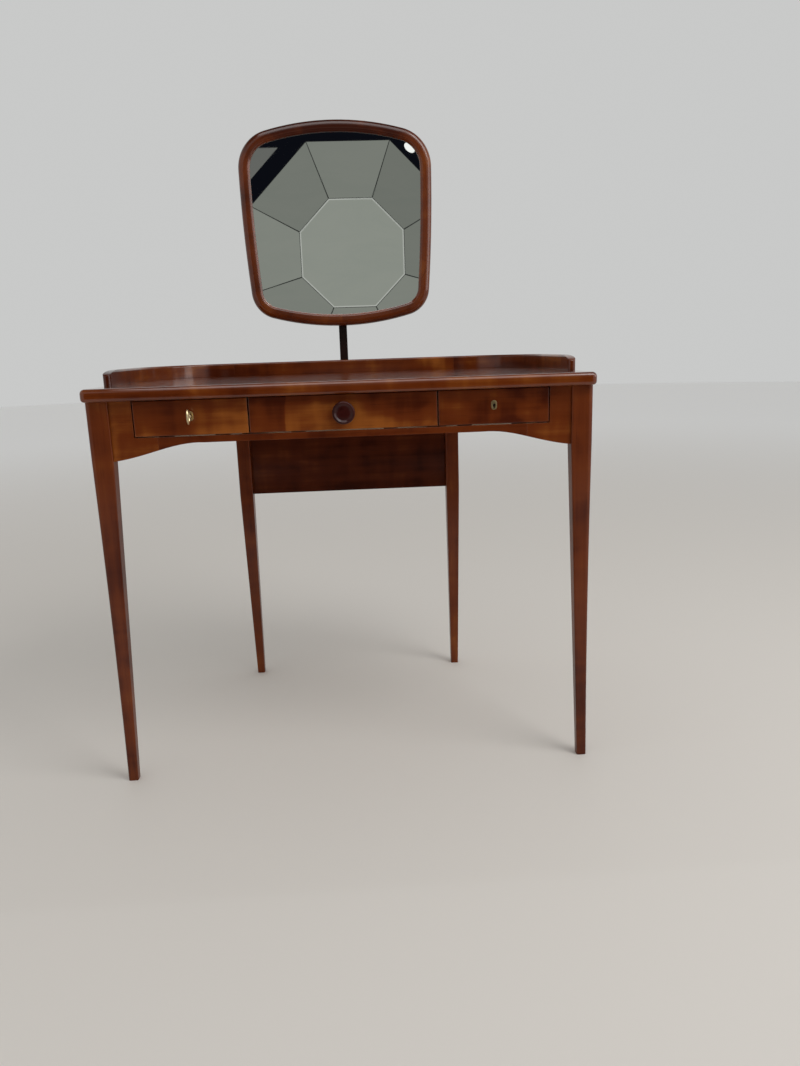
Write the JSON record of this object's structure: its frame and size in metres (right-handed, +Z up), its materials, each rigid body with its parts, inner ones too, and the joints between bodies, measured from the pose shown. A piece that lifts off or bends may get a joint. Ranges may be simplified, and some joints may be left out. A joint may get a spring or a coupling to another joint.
{
  "type": "dressing table with mirror",
  "caption": "Dressing table on slender tapered legs, with rounded rear corners, a raised rim, shallow lockable drawers and a tilting mirror on a central post.",
  "frame": {"origin": "on the floor, under the middle of the whole object's bounding box", "axes": "+Z up, +X to the sitter's right, +Y from the drawers towards the mirror and the wall"},
  "size_m": [0.872, 0.5492, 1.249],
  "materials": {
    "top_wood": "reddish-brown stained wood under a glossy lacquer",
    "rim_wood": "reddish-brown stained wood, satin lacquer",
    "leg_wood": "reddish-brown stained wood, satin lacquer",
    "apron_wood": "golden reddish-brown stained wood, satin lacquer",
    "drawer_front_wood": "golden-brown figured veneer, satin lacquer",
    "back_panel_wood": "reddish-brown stained panel",
    "drawer_box_wood": "plain light wood, unfinished",
    "drawer_bottom_ply": "thin plywood, unfinished",
    "hidden_wood": "plain wood, unfinished",
    "dowel_wood": "beech dowels",
    "mirror_frame_wood": "reddish-brown stained wood, satin lacquer",
    "mirror_silver": "silvered glass",
    "backboard_ply": "thin plywood, stained",
    "post_wood": "dark brown stained wood",
    "knob_wood": "dark reddish-brown turned wood, polished",
    "brass": "worn polished brass",
    "lock_iron": "dull iron",
    "steel": "zinc-plated steel",
    "washer_fibre": "red-brown vulcanised fibre"
  },
  "bodies": {
    "table": {"back_panel": "back_panel_wood", "drawer_divider_left": "hidden_wood", "drawer_divider_right": "hidden_wood", "drawer_guides": "hidden_wood", "drawer_runners": "hidden_wood", "drawer_stops": "hidden_wood", "front_end_piece_left": "apron_wood", "front_end_piece_right": "apron_wood", "front_leg_left": "leg_wood", "front_leg_right": "leg_wood", "front_rail": "apron_wood", "glue_blocks": "hidden_wood", "mirror_post": "post_wood", "post_screws": "steel", "rear_leg_left": "leg_wood", "rear_leg_right": "leg_wood", "rim_back": "rim_wood", "rim_dowels": "dowel_wood", "rim_left": "rim_wood", "rim_right": "rim_wood", "side_apron_left": "apron_wood", "side_apron_right": "apron_wood", "strike_plates": "brass", "top_board": "top_wood", "top_screws": "steel"},
    "centre_drawer": {"centre_drawer_back": "drawer_box_wood", "centre_drawer_bottom": "drawer_bottom_ply", "centre_drawer_front": "drawer_front_wood", "centre_drawer_side_left": "drawer_box_wood", "centre_drawer_side_right": "drawer_box_wood", "knob": "knob_wood", "knob_screw": "steel"},
    "left_drawer": {"escutcheon_left": "brass", "left_drawer_back": "drawer_box_wood", "left_drawer_bottom": "drawer_bottom_ply", "left_drawer_front": "drawer_front_wood", "left_drawer_side_left": "drawer_box_wood", "left_drawer_side_right": "drawer_box_wood", "lock_bolt_left": "lock_iron", "lock_case_left": "lock_iron"},
    "right_drawer": {"escutcheon_right": "brass", "lock_bolt_right": "lock_iron", "lock_case_right": "lock_iron", "right_drawer_back": "drawer_box_wood", "right_drawer_bottom": "drawer_bottom_ply", "right_drawer_front": "drawer_front_wood", "right_drawer_side_left": "drawer_box_wood", "right_drawer_side_right": "drawer_box_wood"},
    "lock_key": {"key": "brass"},
    "mirror": {"backboard_clips": "hidden_wood", "bracket_screws": "steel", "mirror_backboard": "backboard_ply", "mirror_frame": "mirror_frame_wood", "mirror_glass": "mirror_silver", "pivot_bolt": "steel", "pivot_bracket": "brass", "pivot_nut": "brass", "pivot_washers": "washer_fibre"}
  },
  "joints": [
    {"name": "centre_drawer_slide", "type": "slide", "parent": "table", "child": "centre_drawer", "axis": [0, -1, 0], "range_m": [0, 0.3]},
    {"name": "left_drawer_slide", "type": "slide", "parent": "table", "child": "left_drawer", "axis": [0, -1, 0], "range_m": [0, 0.27]},
    {"name": "right_drawer_slide", "type": "slide", "parent": "table", "child": "right_drawer", "axis": [0, -1, 0], "range_m": [0, 0.27]},
    {"name": "key_turn", "type": "hinge", "parent": "left_drawer", "child": "lock_key", "pos_m": [-0.2598, -0.2654, 0.671], "axis": [0, 1, 0], "range_deg": [0, 90]},
    {"name": "mirror_tilt", "type": "hinge", "parent": "table", "child": "mirror", "pos_m": [0, 0.2656, 1.037], "axis": [1, 0, 0], "range_deg": [-25, 6]}
  ]
}
